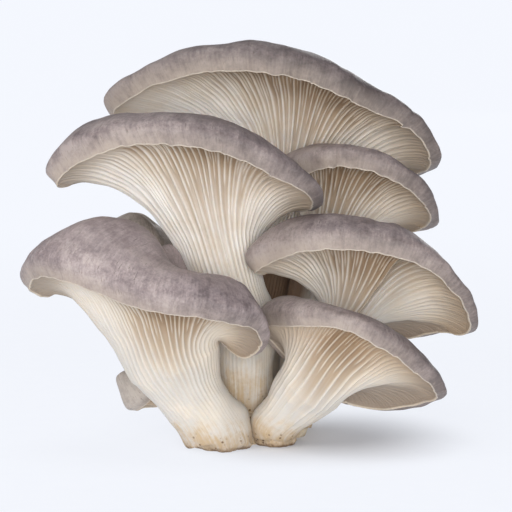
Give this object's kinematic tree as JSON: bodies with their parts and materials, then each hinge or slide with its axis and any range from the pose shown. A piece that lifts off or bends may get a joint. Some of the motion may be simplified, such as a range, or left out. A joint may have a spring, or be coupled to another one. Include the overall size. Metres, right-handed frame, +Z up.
{
  "type": "oyster mushroom cluster",
  "caption": "Cluster of fresh grey oyster mushrooms standing on a trimmed butt, with fan-shaped grey-mauve caps, cream gills and pale stems.",
  "frame": {"origin": "on the flat trimmed base that the cluster stands on, between the two front feet and the butt behind them", "axes": "+Z up, +X to the right and +Y away from the viewer when the gilled side is faced"},
  "size_m": [0.1528, 0.1104, 0.1355],
  "materials": {
    "cap_skin": "dry, faintly streaked grey-mauve mushroom skin",
    "gills_and_stem": "matte cream mushroom flesh",
    "butt_flesh": "rough tan trimmed flesh"
  },
  "bodies": {
    "root": {"mushroom_top_back": "cap_skin", "mushroom_upper_left": "cap_skin", "mushroom_upper_right": "cap_skin", "mushroom_mid_right": "cap_skin", "mushroom_lower_left": "cap_skin", "mushroom_lower_right": "cap_skin", "mushroom_small_behind": "cap_skin", "mushroom_small_low": "cap_skin", "trimmed_butt": "butt_flesh"}
  },
  "joints": []
}
